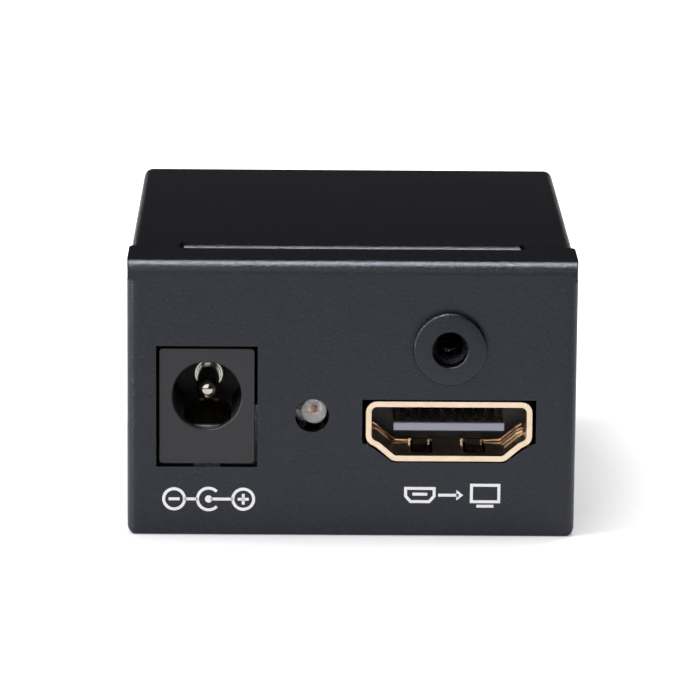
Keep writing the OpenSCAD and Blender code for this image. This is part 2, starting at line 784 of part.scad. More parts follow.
// Leaf that presses on the sleeve of a plug, bent up to a crest behind its root
module jack_leaf() {
    color("#d9b872") translate([-jack_x, jack_y, jack_z]) run_across(leaf_w)
        polygon(strip_outline([[leaf_root_y, -leaf_root_drop], [leaf_crest_y - leaf_t, -leaf_crest_drop],
            [leaf_crest_y + leaf_t, -leaf_crest_drop], [leaf_end_y - leaf_pad_len, -leaf_end_drop],
            [leaf_end_y, -leaf_end_drop]], leaf_t));
}

// Terminal that carries the leaf's root and runs down through the board
module jack_leaf_terminal() {
    y = leaf_terminal_y();
    color("#c9c4b4") translate([-jack_x, jack_y, jack_z]) {
        span([-terminal_w / 2, y - terminal_t / 2, -jack_axis_h - board_t - terminal_tail],
            [terminal_w / 2, y + terminal_t / 2, -leaf_root_drop + leaf_t / 2]);
    }
}

// Contact that the leaf's end touches while no plug is in
module jack_switch_terminal() {
    x = switch_x();
    y = switch_y();
    top = -switch_drop();
    color("#c9c4b4") translate([-jack_x, jack_y, jack_z]) {
        span([leaf_gap + slip, y - switch_w / 2, top - terminal_t], [x + terminal_t / 2, y + switch_w / 2, top]);
        span([x - terminal_t / 2, y - switch_w / 2, -jack_axis_h - board_t - terminal_tail],
            [x + terminal_t / 2, y + switch_w / 2, top - terminal_t / 2]);
    }
}

// Clear lens with a domed tip, a flange at its base and a pocket around the lead frame
module indicator_lens() {
    r = lamp_d / 2;
    color("#dfe4ea", 0.5) translate([-lamp_x, lamp_y, lamp_z]) difference() {
        rotate([-90, 0, 0]) {
            translate([0, 0, r]) sphere(r = r);
            translate([0, 0, r]) cylinder(r = r, h = lamp_len - r);
            translate([0, 0, lamp_len - lamp_flange_len])
                cylinder(d = lamp_flange_d, h = lamp_flange_len);
        }
        for (side = [-1, 1]) lead_post(side, slip, over);
    }
}

// Upper part of a lead, inside the lens, with a clearance on all sides
module lead_post(side, gap, tail) {
    x = side * lead_pitch / 2;
    span([x - lead_t / 2 - gap, lead_top - gap, -lead_t / 2 - gap],
        [x + lead_t / 2 + gap, lamp_len + tail, lead_t / 2 + gap]);
    if (side < 0)
        span([x - lead_t / 2 - gap, lead_top - gap, -cup_w / 2 - gap],
            [x - lead_t / 2 + cup_w + gap, lead_top + cup_len + gap, cup_w / 2 + gap]);
}

// Two leads, bent down to the board, one of them with the reflector cup
module indicator_leads() {
    drop = lamp_axis_h + board_t + lead_tail;
    color("#c9cbce") translate([-lamp_x, lamp_y, lamp_z]) difference() {
        for (side = [-1, 1]) {
            lead_post(side, 0, 0);
            translate([side * lead_pitch / 2, 0, 0]) run_across(lead_t)
                polygon(strip_outline([[lamp_len, 0], [lead_bend_y, 0], [lead_bend_y, -drop]], lead_t));
        }
        translate([-lead_pitch / 2 - lead_t / 2 + cup_w / 2, lead_top - slip, 0])
            rotate([-90, 0, 0]) cylinder(r1 = cup_r, r2 = cup_r / 2, h = cup_depth);
    }
}

// Opening of the port in X and Z: wide above, drawn in below in two slants
function port_points() = let (low = -port_h / 2) [
    [-port_base_w / 2, low], [port_base_w / 2, low],
    [port_knee_w / 2, low + port_knee_rise], [port_w / 2, low + port_shoulder_rise],
    [port_w / 2, port_h / 2], [-port_w / 2, port_h / 2],
    [-port_w / 2, low + port_shoulder_rise], [-port_knee_w / 2, low + port_knee_rise]
];
function port_radii(g) = [
    port_low_r + g, port_low_r + g, port_low_r, port_low_r + g,
    port_top_r + g, port_top_r + g, port_low_r + g, port_low_r
];
function port_outline(g) = rounded(grown(port_points(), g), port_radii(g));

// Shell of folded sheet with a thicker rim, four spring windows and four solder legs
module port_shell() {
    window_len = spring_root_y + spring_gap - window_front;
    leg_low = -port_axis_h - board_t - port_leg_tail;
    difference() {
        union() {
            run_back(0, rim_len) polygon(port_outline(rim_t));
            run_back(0, shell_len) polygon(port_outline(shell_t));
        }
        run_back(-over, shell_len + 2 * over) polygon(port_outline(0));
        for (side = [-1, 1])
            span([side * spring_at - window_w / 2, window_front, -port_h / 2 - shell_t - over],
                [side * spring_at + window_w / 2, window_front + window_len,
                    port_h / 2 + shell_t + over]);
    }
    for (side = [-1, 1], y = port_leg_ys)
        translate([side * (port_w + shell_t) / 2, y, leg_low / 2 + port_h / 8])
            cube([shell_t, port_leg_w, -leg_low + port_h / 4], center = true);
}

// Heights of the contact rows' middles
function upper_row() = tongue_rise + (tongue_t - contact_t) / 2;
function lower_row() = tongue_rise - (tongue_t - contact_t) / 2;

// Moulded block that closes the shell's rear and carries the tongue, whose front lip stands as
// high as the contacts behind it
module port_insulator() {
    half = tongue_t / 2;
    web = half - contact_t;
    lip_end = tongue_recess + contact_recess - tongue_lip_gap;
    root = cavity_len + contact_air;
    back = shell_len + block_back_t;
    difference() {
        union() {
            run_back(cavity_len, shell_len - cavity_len) polygon(port_outline(-slip));
            span([-port_w / 2, shell_len, -port_axis_h], [port_w / 2, back, port_h / 2]);
            translate([0, 0, tongue_rise]) run_across(tongue_w) polygon([
                [tongue_recess, -half + tongue_bevel], [tongue_recess + tongue_bevel, -half],
                [lip_end, -half], [lip_end, -web], [root, -web], [root, web], [lip_end, web],
                [lip_end, half], [tongue_recess + tongue_bevel, half],
                [tongue_recess, half - tongue_bevel]]);
        }
        for (row = [upper_row(), lower_row()])
            span([-row_w / 2, cavity_len - slip, row - contact_t / 2],
                [row_w / 2, back + over, row + contact_t / 2 + contact_air]);
    }
}

// One row of contacts along the tongue, down behind the block and out to solder feet
module port_contacts(count, row, front) {
    foot = -port_axis_h + contact_t / 2;
    for (i = [0 : count - 1])
        translate([(i - (count - 1) / 2) * contact_pitch, 0, 0]) run_across(contact_w)
            polygon(strip_outline([[front, row], [contact_down, row], [contact_down, foot],
                [contact_down + contact_foot, foot]], contact_t));
}

// Two spring fingers in the lower or the upper wall of the shell, bent inwards to a crest
module port_springs(up) {
    wall = port_h / 2 + shell_t / 2;
    for (side = [-1, 1])
        translate([side * spring_at, 0, 0]) run_across(spring_w)
            polygon(strip_outline([
                [spring_root_y, up * wall], [spring_flat_y, up * wall],
                [spring_crest_y, up * (wall - shell_t / 2 - spring_crest + spring_t / 2)],
                [spring_tip_y, up * (wall - shell_t / 2 + spring_t / 2)]], spring_t));
}

// Places of the two ports: the front one faces the front, the rear one the rear
module at_output() {
    translate([port_x, front_y - port_proud, port_z]) children();
}
module at_input() {
    translate([port_x, rear_y + port_proud, port_z]) rotate([0, 0, 180]) children();
}

module output_port_shell() { color("#d9a441") at_output() port_shell(); }
module output_port_insulator() { color("#3a3b40") at_output() port_insulator(); }
module output_port_upper_contacts() {
    color("#d9b04f") at_output() port_contacts(upper_contacts, upper_row(), tongue_recess + contact_recess);
}
module output_port_lower_contacts() {
    color("#d9b04f") at_output() port_contacts(lower_contacts, lower_row(), tongue_recess + contact_recess);
}
module output_port_upper_springs() { color("#d9a441") at_output() port_springs(1); }
module output_port_lower_springs() { color("#d9a441") at_output() port_springs(-1); }
module input_port_shell() { color("#d9a441") at_input() port_shell(); }
module input_port_insulator() { color("#3a3b40") at_input() port_insulator(); }
module input_port_upper_contacts() {
    color("#d9b04f") at_input() port_contacts(upper_contacts, upper_row(), tongue_recess + contact_recess);
}
module input_port_lower_contacts() {
    color("#d9b04f") at_input() port_contacts(lower_contacts, lower_row(), tongue_recess + contact_recess);
}
module input_port_upper_springs() { color("#d9a441") at_input() port_springs(1); }
module input_port_lower_springs() { color("#d9a441") at_input() port_springs(-1); }

// Moves a circuit part to its place on the board's top
module on_board(share) {
    translate([share[0] * board_w / 2, share[1] * board_d / 2, board_top]) children();
}

// Block on its middle, with its top edges drawn in by a bevel
module moulded(l, w, t, bevel) {
    translate([-l / 2, -w / 2, 0]) cube([l, w, t - bevel]);
    translate([bevel - l / 2, bevel - w / 2, t - bevel]) cube([l - 2 * bevel, w - 2 * bevel, bevel]);
}

module signal_chip() {
    color("#1d1d1f") on_board(chip_place_share) translate([0, 0, chip_stand])
        moulded(chip_w, chip_w, chip_t, chip_edge);
}

module signal_chip_leads() {
    out = chip_w / 2;
    high = chip_stand + chip_t / 2;
    low = chip_lead_t / 2;
    color("#c9cbce") on_board(chip_place_share) for (turn = [0, 90, 180, 270]) rotate([0, 0, turn])
        for (i = [0 : chip_leads_a_side - 1])
            translate([(i - (chip_leads_a_side - 1) / 2) * chip_lead_pitch, 0, 0])
                run_across(chip_lead_w) polygon(strip_outline([
                    [out, high], [out + chip_lead_len / 3, high],
                    [out + chip_lead_len / 2, low], [out + chip_lead_len, low]], chip_lead_t));
}

module regulator() {
    color("#1d1d1f") on_board(regulator_place_share) moulded(regulator_w, regulator_d, regulator_t, chip_edge);
}

// Three leads on one side of the regulator and its wide tab on the other
module regulator_leads() {
    side = regulator_d / 2;
    high = regulator_t / 2;
    low = regulator_lead_t / 2;
    outline = strip_outline([
        [side, high], [side + regulator_lead_len / 3, high],
        [side + regulator_lead_len / 2, low], [side + regulator_lead_len, low]], regulator_lead_t);
    color("#c9cbce") on_board(regulator_place_share) {
        for (i = [-1, 0, 1]) translate([i * regulator_lead_pitch, 0, 0]) rotate([0, 0, 180])
            run_across(regulator_lead_w) polygon(outline);
        run_across(regulator_tab_w) polygon(outline);
    }
}

module reservoir_capacitors() {
    color("#cfd1d3") for (share = can_place_shares) on_board(share) {
        translate([0, 0, can_base_h]) cylinder(d = can_d, h = can_h - can_base_h - can_edge_r);
        translate([0, 0, can_h - can_edge_r])
            cylinder(d1 = can_d, d2 = can_d - can_edge_r, h = can_edge_r);
    }
}

module reservoir_bases() {
    color("#232325") for (share = can_place_shares) on_board(share)
        translate([-can_base_w / 2, -can_base_w / 2, 0]) cube([can_base_w, can_base_w, can_base_h]);
}

// Body of a two-ended chip part between its ends
module chip_body(l, w, t) {
    translate([end_l - l / 2, -w / 2, 0]) cube([l - 2 * end_l, w, t]);
}

// Its two metal ends
module chip_ends(l, w, t) {
    for (side = [-1, 1]) translate([side * (l - end_l) / 2 - end_l / 2, -w / 2, 0]) cube([end_l, w, t]);
}

module bypass_capacitors() {
    color("#b59a72") for (share = bypass_place_shares) on_board(share) rotate([0, 0, 90])
        chip_body(bypass_l, bypass_w, bypass_t);
}
module bypass_capacitor_ends() {
    color("#c9cbce") for (share = bypass_place_shares) on_board(share) rotate([0, 0, 90])
        chip_ends(bypass_l, bypass_w, bypass_t);
}
module chip_resistors() {
    color("#1c1d20") for (share = resistor_place_shares) on_board(share) rotate([0, 0, 90])
        chip_body(resistor_l, resistor_w, resistor_t);
}
module chip_resistor_ends() {
    color("#c9cbce") for (share = resistor_place_shares) on_board(share) rotate([0, 0, 90])
        chip_ends(resistor_l, resistor_w, resistor_t);
}

module surge_arrays() {
    color("#1d1d1f") for (share = array_place_shares) on_board(share)
        moulded(array_w, array_d, array_t, array_t / 5);
}

// Wound choke: a core between two square flanges
module power_inductor() {
    color("#2c2b2a") on_board(inductor_place_share) {
        translate([-inductor_w / 2, -inductor_w / 2, 0]) cube([inductor_w, inductor_w, inductor_flange_t]);
        cylinder(d = inductor_core_d, h = inductor_t);
        translate([-inductor_w / 2, -inductor_w / 2, inductor_t - inductor_flange_t])
            cube([inductor_w, inductor_w, inductor_flange_t]);
    }
}

module polarity_diode() {
    color("#1d1d1f") on_board(diode_place_share) chip_body(diode_l, diode_w, diode_t);
}
module polarity_diode_ends() {
    color("#c9cbce") on_board(diode_place_share) chip_ends(diode_l, diode_w / 2, diode_t / 2);
}
module input_fuse() {
    color("#3f6f4e") on_board(fuse_place_share) moulded(fuse_l, fuse_w, fuse_t, fuse_t / 5);
}
module timing_crystal() {
    color("#c4c6c8") on_board(crystal_place_share) moulded(crystal_w, crystal_l, crystal_t, crystal_t / 5);
}

front_panel();
floor_pan();
rear_panel();
cover();
cover_screws();
front_lock_post();
rear_lock_post();
board_standoffs();
board_screws();
circuit_board();
jack_housing();
jack_pin();
jack_pin_terminal();
jack_leaf();
jack_leaf_terminal();
jack_switch_terminal();
indicator_lens();
indicator_leads();
output_port_shell();
output_port_insulator();
output_port_upper_contacts();
output_port_lower_contacts();
output_port_upper_springs();
output_port_lower_springs();
input_port_shell();
input_port_insulator();
input_port_upper_contacts();
input_port_lower_contacts();
input_port_upper_springs();
input_port_lower_springs();
signal_chip();
signal_chip_leads();
regulator();
regulator_leads();
reservoir_capacitors();
reservoir_bases();
bypass_capacitors();
bypass_capacitor_ends();
chip_resistors();
chip_resistor_ends();
surge_arrays();
power_inductor();
polarity_diode();
polarity_diode_ends();
input_fuse();
timing_crystal();
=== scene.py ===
import math

import bmesh
import bpy
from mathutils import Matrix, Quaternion, Vector


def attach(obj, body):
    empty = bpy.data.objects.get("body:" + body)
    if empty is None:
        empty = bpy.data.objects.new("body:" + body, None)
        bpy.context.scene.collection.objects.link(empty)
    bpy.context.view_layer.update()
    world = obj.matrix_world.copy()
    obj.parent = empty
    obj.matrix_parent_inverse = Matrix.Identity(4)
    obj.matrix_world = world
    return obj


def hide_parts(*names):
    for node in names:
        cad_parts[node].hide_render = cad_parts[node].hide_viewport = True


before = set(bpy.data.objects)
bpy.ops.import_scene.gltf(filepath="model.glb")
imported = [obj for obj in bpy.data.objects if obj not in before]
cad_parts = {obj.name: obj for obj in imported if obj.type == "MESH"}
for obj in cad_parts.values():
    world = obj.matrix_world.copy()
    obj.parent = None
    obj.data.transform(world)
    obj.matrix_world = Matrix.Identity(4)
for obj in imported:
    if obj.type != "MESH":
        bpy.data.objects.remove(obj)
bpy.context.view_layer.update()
MM = 0.001

# Camera: a long lens a little above the front panel and a little to its left, rolled by half a
# degree, as the case was photographed.
view_azimuth = math.radians(-0.687)
view_elevation = math.radians(12.996)
view_roll = math.radians(0.505)
view_distance = 412.4 * MM
view_target = Vector((-0.21, -22.3, 17.39)) * MM
camera_back = Vector((
    math.sin(view_azimuth) * math.cos(view_elevation),
    -math.cos(view_azimuth) * math.cos(view_elevation),
    math.sin(view_elevation)))
camera_data = bpy.data.cameras.new("studio_camera")
camera_data.lens = 234.46
camera_data.sensor_width = 36.0
camera_data.clip_start = 0.01
camera_data.clip_end = 20.0
camera = bpy.data.objects.new("studio_camera", camera_data)
camera.rotation_mode = "QUATERNION"
camera.location = view_target + camera_back * view_distance
camera.rotation_quaternion = (
    (-camera_back).to_track_quat("-Z", "Y") @ Quaternion((0, 0, 1), view_roll))
bpy.context.scene.collection.objects.link(camera)
bpy.context.scene.camera = camera
bpy.context.scene.view_settings.view_transform = "Standard"

# Studio: a white sweep under the case, which glows more away from it, and a dark room round it.
# A broad soft lamp stands in front, a strip overhead draws the light lines along the folds, and
# two weak lamps stand at the left and close behind.


def node_tree(owner):
    owner.use_nodes = True
    owner.node_tree.nodes.clear()
    return owner.node_tree


def add_node(tree, kind, **sockets):
    made = tree.nodes.new(kind)
    for name, value in sockets.items():
        made.inputs[name.replace("_", " ")].default_value = value
    return made


def mixed(tree, share, first, second):
    made = tree.nodes.new("ShaderNodeMixShader")
    tree.links.new(share, made.inputs[0])
    tree.links.new(first.outputs[0], made.inputs[1])
    tree.links.new(second.outputs[0], made.inputs[2])
    return made


def ranged(tree, value, source, target):
    """A value moved from one range into another, and held inside it."""
    made = tree.nodes.new("ShaderNodeMapRange")
    made.inputs["From Min"].default_value, made.inputs["From Max"].default_value = source
    made.inputs["To Min"].default_value, made.inputs["To Max"].default_value = target
    tree.links.new(value, made.inputs["Value"])
    return made.outputs["Result"]


floor_mesh = bpy.data.meshes.new("studio_floor")
floor_half = 3.0
floor_drop = 0.02
glow_reach, glow_range = (0.025, 0.09), (0.26, 1.05)
floor_mesh.from_pydata(
    [(-floor_half, -floor_half, 0), (floor_half, -floor_half, 0),
     (floor_half, floor_half, 0), (-floor_half, floor_half, 0)], [], [(0, 1, 2, 3)])
studio_floor = bpy.data.objects.new("studio_floor", floor_mesh)
studio_floor.location = (0, 0, -floor_drop * MM)
bpy.context.scene.collection.objects.link(studio_floor)
sweep = bpy.data.materials.new("white_sweep")
tree = node_tree(sweep)
paper = add_node(tree, "ShaderNodeBsdfDiffuse", Color=(0.54, 0.54, 0.545, 1))
unlit = add_node(tree, "ShaderNodeEmission", Color=(0, 0, 0, 1), Strength=0.0)
seen_glow = add_node(tree, "ShaderNodeEmission", Color=(0.98, 0.985, 1, 1))
place = tree.nodes.new("ShaderNodeTexCoord")
away = tree.nodes.new("ShaderNodeVectorMath")
away.operation = "LENGTH"
tree.links.new(place.outputs["Object"], away.inputs[0])
tree.links.new(
    ranged(tree, away.outputs["Value"], glow_reach, glow_range), seen_glow.inputs["Strength"])
mirrored_glow = add_node(tree, "ShaderNodeEmission", Color=(1, 1, 1, 1), Strength=0.08)
path = tree.nodes.new("ShaderNodeLightPath")
glow = mixed(tree, path.outputs["Is Transmission Ray"], unlit, mirrored_glow)
glow = mixed(tree, path.outputs["Is Glossy Ray"], glow, mirrored_glow)
glow = mixed(tree, path.outputs["Is Camera Ray"], glow, seen_glow)
both = tree.nodes.new("ShaderNodeAddShader")
out = tree.nodes.new("ShaderNodeOutputMaterial")
tree.links.new(paper.outputs[0], both.inputs[0])
tree.links.new(glow.outputs[0], both.inputs[1])
tree.links.new(both.outputs[0], out.inputs["Surface"])
floor_mesh.materials.append(sweep)

room = bpy.data.worlds.new("studio_room")
bpy.context.scene.world = room
tree = node_tree(room)
dark_air = add_node(tree, "ShaderNodeBackground", Color=(0.012, 0.012, 0.013, 1), Strength=1.0)
white_air = add_node(tree, "ShaderNodeBackground", Color=(1, 1, 1, 1), Strength=1.0)
path = tree.nodes.new("ShaderNodeLightPath")
air = mixed(tree, path.outputs["Is Camera Ray"], dark_air, white_air)
out = tree.nodes.new("ShaderNodeOutputWorld")
tree.links.new(air.outputs[0], out.inputs["Surface"])


def soft_lamp(name, place, aim, width, height, watts):
    data = bpy.data.lights.new(name, "AREA")
    data.shape = "RECTANGLE"
    data.size = width
    data.size_y = height
    data.energy = watts
    lamp = bpy.data.objects.new(name, data)
    lamp.location = place
    lamp.rotation_mode = "QUATERNION"
    lamp.rotation_quaternion = (Vector(aim) - Vector(place)).to_track_quat("-Z", "Y")
    bpy.context.scene.collection.objects.link(lamp)
    lamp.visible_camera = False
    return lamp


soft_lamp("front_softbox", place=(-0.5, -0.8, 0.66), aim=(0, 0, 0.01),
          width=1.6, height=1.1, watts=9.0)
soft_lamp("top_strip", place=(-0.05, 0.07, 0.8), aim=(0, 0, 0.02),
          width=0.9, height=0.18, watts=11.5)
soft_lamp("left_strip", place=(-0.8, -0.35, 0.25), aim=(0, 0, 0.01),
          width=0.12, height=0.5, watts=4.5)
soft_lamp("rear_glow", place=(0, 0.034, 0.0295), aim=(0, 0, 0.0245),
          width=0.06, height=0.005, watts=0.00005)

# Case: three sheets of 0.8 mm steel seam-welded into a tray, and a cover of the same sheet. All
# are folded first, then powder-coated a fine-textured satin black.


def sized_noise(tree, grain, detail=2.0, rough=0.5):
    """Noise in the object's own metres, with grains of about the given size."""
    place = tree.nodes.new("ShaderNodeTexCoord")
    noise = tree.nodes.new("ShaderNodeTexNoise")
    noise.inputs["Scale"].default_value = 1.0 / grain
    noise.inputs["Detail"].default_value = detail
    noise.inputs["Roughness"].default_value = rough
    tree.links.new(place.outputs["Object"], noise.inputs["Vector"])
    return noise.outputs["Fac"]


def ramp(tree, value, stops):
    """Colour ramp from (place, colour) stops."""
    made = tree.nodes.new("ShaderNodeValToRGB")
    first, last = made.color_ramp.elements
    first.position, first.color = stops[0][0], (*stops[0][1], 1)
    last.position, last.color = stops[-1][0], (*stops[-1][1], 1)
    for place, colour in stops[1:-1]:
        made.color_ramp.elements.new(place).color = (*colour, 1)
    tree.links.new(value, made.inputs["Fac"])
    return made.outputs["Color"]


def spread(tree, value, low, high):
    """The middle of a noise moved into a range."""
    return ranged(tree, value, (0.3, 0.7), (low, high))


def bumped(tree, value, depth, under=None):
    """Relief of the given depth, on top of another relief where one is given."""
    made = tree.nodes.new("ShaderNodeBump")
    made.inputs["Distance"].default_value = depth
    tree.links.new(value, made.inputs["Height"])
    if under is not None:
        tree.links.new(under, made.inputs["Normal"])
    return made.outputs["Normal"]


def bare_finish(name, **sockets):
    """A Principled material with plain values set on its sockets."""
    made = bpy.data.materials.new(name)
    tree = node_tree(made)
    shader = add_node(tree, "ShaderNodeBsdfPrincipled", **sockets)
    end = tree.nodes.new("ShaderNodeOutputMaterial")
    tree.links.new(shader.outputs[0], end.inputs["Surface"])
    return made, tree, shader


def mottled_finish(name, dark, light, grain, rough=(0.4, 0.55), depth=0.002, **sockets):
    """A finish whose colour, gloss and relief all vary by the same fine noise."""
    made, tree, shader = bare_finish(name, **sockets)
    noise = sized_noise(tree, grain * MM, 3.0)
    tree.links.new(ramp(tree, noise, [(0.3, dark), (0.7, light)]), shader.inputs["Base Color"])
    tree.links.new(spread(tree, noise, *rough), shader.inputs["Roughness"])
    tree.links.new(bumped(tree, noise, depth * MM), shader.inputs["Normal"])
    return made


def dress(node, material):
    """Gives a CAD node its material."""
    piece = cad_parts[node]
    piece.data.materials.clear()
    piece.data.materials.append(material)
    return piece


def break_edges(piece, width, angle=40, segments=2):
    """Small rounding on every sharp edge, as wear and coating leave it."""
    bevel = piece.modifiers.new("edge_break", "BEVEL")
    bevel.width = width * MM
    bevel.segments = segments
    bevel.limit_method = "ANGLE"
    bevel.angle_limit = math.radians(angle)
    bevel.harden_normals = True
    bevel.use_clamp_overlap = True
    return piece


coat_grain, coat_speck, coat_cloud = 0.14 * MM, 0.08 * MM, 9 * MM
grain_depth, speck_depth = 0.045 * MM, 0.012 * MM
coat_edge = 0.07
powder_coat, tree, shader = bare_finish(
    "powder_coat", Specular_IOR_Level=0.62, Specular_Tint=(0.82, 0.86, 1, 1))
grain = sized_noise(tree, coat_grain, 2.0, 0.6)
cloud = sized_noise(tree, coat_cloud, 2.0)
speck = sized_noise(tree, coat_speck, 1.0)
tree.links.new(
    ramp(tree, grain, [(0.3, (0.0012, 0.0013, 0.0018)), (0.6, (0.0026, 0.0028, 0.0038)),
                       (0.74, (0.03, 0.031, 0.038))]),
    shader.inputs["Base Color"])
tree.links.new(spread(tree, cloud, 0.19, 0.225), shader.inputs["Roughness"])
tree.links.new(
    bumped(tree, grain, grain_depth, bumped(tree, speck, speck_depth)), shader.inputs["Normal"])
for node in ("front_panel", "floor_pan", "rear_panel", "cover"):
    break_edges(dress(node, powder_coat), coat_edge)

# Cover screws: four flat-head steel screws with a cross recess, black zinc plated, two in each
# side of the cover.
black_zinc = mottled_finish("black_zinc", (0.02, 0.02, 0.021), (0.05, 0.05, 0.052), 0.25,
                            rough=(0.32, 0.45), Metallic=0.9)
dress("cover_screws", black_zinc)

# Lock posts: steel posts turned on a lathe, riveted into the panels and coated with them. The
# thread is cut behind a plain entry, right through the barrel.
post_x, post_z = 8.85, 17.6
post_r, post_edge = 3.35, 0.25
post_shank_r, post_collar_r, post_collar_t, post_barrel_r = 2.75, 3.2, 0.6, 2.3
entry_r, entry_edge, entry_taper = 1.6, 0.1, 0.3
thread_outer_r, thread_core_r, thread_pitch = 1.5, 1.25, 0.5
sheet = 0.8
post_face = 23.1
panel_face = 22.3
post_end = 17.3
thread_start = 21.3


def turned(name, rings, sides=64, closed=False):
    """A body of revolution about Y from rings of (distance along the axis, radius), where the
    radius may be a function of the angle. Open ends close to a point on the axis."""
    shape = bmesh.new()
    loops = []
    for along, radius in rings:
        loop = []
        for step in range(sides):
            angle = 2 * math.pi * step / sides
            reach = radius(angle) if callable(radius) else radius
            loop.append(shape.verts.new(
                (reach * math.cos(angle) * MM, along * MM, reach * math.sin(angle) * MM)))
        loops.append(loop)
    pairs = list(zip(loops, loops[1:] + loops[:1])) if closed else list(zip(loops, loops[1:]))
    for here, there in pairs:
        for step in range(sides):
            after = (step + 1) % sides
            shape.faces.new((here[step], here[after], there[after], there[step]))
    if not closed:
        shape.faces.new(loops[0])
        shape.faces.new(list(reversed(loops[-1])))
    bmesh.ops.recalc_face_normals(shape, faces=shape.faces)
    return piece_from(name, shape)


def piece_from(name, shape, smooth=True):
    """An object from a bmesh, smooth except at its sharp edges."""
    mesh = bpy.data.meshes.new(name)
    shape.to_mesh(mesh)
    shape.free()
    piece = bpy.data.objects.new(name, mesh)
    bpy.context.scene.collection.objects.link(piece)
    if smooth:
        for face in mesh.polygons:
            face.use_smooth = True
        mesh.set_sharp_from_angle(angle=math.radians(32))
    return piece


def thread_ring(along):
    """Radius of a ring in the thread, whose depth grows over the first and the last turn."""
    inside = min(along - post_end, thread_start - along)
    depth = (thread_outer_r - thread_core_r) * max(0.0, min(1.0, inside / thread_pitch))

    def radius(angle):
        phase = (along / thread_pitch - angle / (2 * math.pi)) % 1.0
        return thread_core_r + depth * min(1.0, abs(2 * phase - 1) * 1.25)
    return radius


def placed(piece, place, material, body="root"):
    """Puts a piece in its place, gives it its material and lets it ride on its body."""
    piece.location = place
    piece.data.materials.append(material)
    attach(piece, body)
    return piece


collar_face = panel_face - sheet
outer_rings = [(post_face, entry_r + entry_edge), (post_face, post_r - post_edge)]
outer_rings += [
    (post_face - post_edge + post_edge * math.cos(turn),
     post_r - post_edge + post_edge * math.sin(turn))
    for turn in (math.pi / 8 * step for step in range(1, 5))]
outer_rings += [
    (panel_face, post_r), (panel_face, post_shank_r), (collar_face, post_shank_r),
    (collar_face, post_collar_r), (collar_face - post_collar_t, post_collar_r),
    (collar_face - post_collar_t, post_barrel_r), (post_end, post_barrel_r)]
turn_steps = int((thread_start - post_end) / thread_pitch * 8)
thread_rings = [
    (place, thread_ring(place))
    for place in (post_end + (thread_start - post_end) * step / turn_steps
                  for step in range(turn_steps + 1))]
inner_rings = thread_rings + [
    (thread_start + entry_taper, entry_r), (post_face - entry_edge, entry_r)]
for side, front in (("front", -1), ("rear", 1)):
    post = turned(
        f"{side}_lock_stud", [(front * place, reach) for place, reach in outer_rings + inner_rings],
        closed=True)
    placed(post, Vector((post_x, 0, post_z)) * MM, powder_coat)
    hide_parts(f"{side}_lock_post")

# Board and what holds it: a glass-fibre board on four clinched standoffs, with pan-head screws.
solder_mask, tree, shader = bare_finish(
    "solder_mask", Roughness=0.35, Coat_Weight=0.4, Coat_Roughness=0.15)
track = sized_noise(tree, 1.6 * MM, 1.0)
tree.links.new(
    ramp(tree, track, [(0.46, (0.008, 0.05, 0.022)), (0.5, (0.014, 0.085, 0.038)),
                       (0.54, (0.008, 0.05, 0.022))]),
    shader.inputs["Base Color"])
tree.links.new(bumped(tree, track, 0.03 * MM), shader.inputs["Normal"])
dress("circuit_board", solder_mask)
bright_zinc = mottled_finish("bright_zinc", (0.5, 0.5, 0.49), (0.66, 0.66, 0.64), 0.3,
                             rough=(0.25, 0.4), Metallic=1.0)
for node in ("board_standoffs", "board_screws"):
    dress(node, bright_zinc)

# Power jack: a moulded housing, flush in its opening, with a round-tipped nickel-plated pin
# riveted into its rear wall, a sprung bronze leaf under the pin, and tinned terminals.
jack_plastic = mottled_finish("jack_plastic", (0.013, 0.013, 0.0155), (0.021, 0.021, 0.025), 0.14,
                              rough=(0.42, 0.55), depth=0.006)
break_edges(dress("jack_housing", jack_plastic), 0.06)
jack_place = Vector((-13.15, -22.1, 13.0)) * MM
nickel = mottled_finish("nickel", (0.5, 0.47, 0.43), (0.6, 0.57, 0.52), 0.4,
                        rough=(0.1, 0.16), depth=0.0004, Metallic=1.0)
tip_at, tip_depth, pin_r = 2.0, 0.95, 1.0
pin_rings = [
    (tip_at + tip_depth * (1 - math.cos(turn)), pin_r * math.sin(turn))
    for turn in (math.pi / 2 * step / 8 for step in range(1, 9))]
pin_rings += [
    (8.55, pin_r), (8.55, 1.1), (8.6, 1.14), (8.68, 1.14), (8.72, 1.1), (8.72, 1.28), (8.6, 1.34),
    (8.62, 1.42), (8.72, 1.45), (9.6, 1.45), (9.6, pin_r), (11.8, pin_r), (12.2, pin_r),
    (12.2, 1.6), (12.55, 1.55), (12.68, 1.3), (12.7, 0.9)]
pin = turned("jack_centre_pin", pin_rings)
placed(pin, jack_place, nickel)
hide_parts("jack_pin")

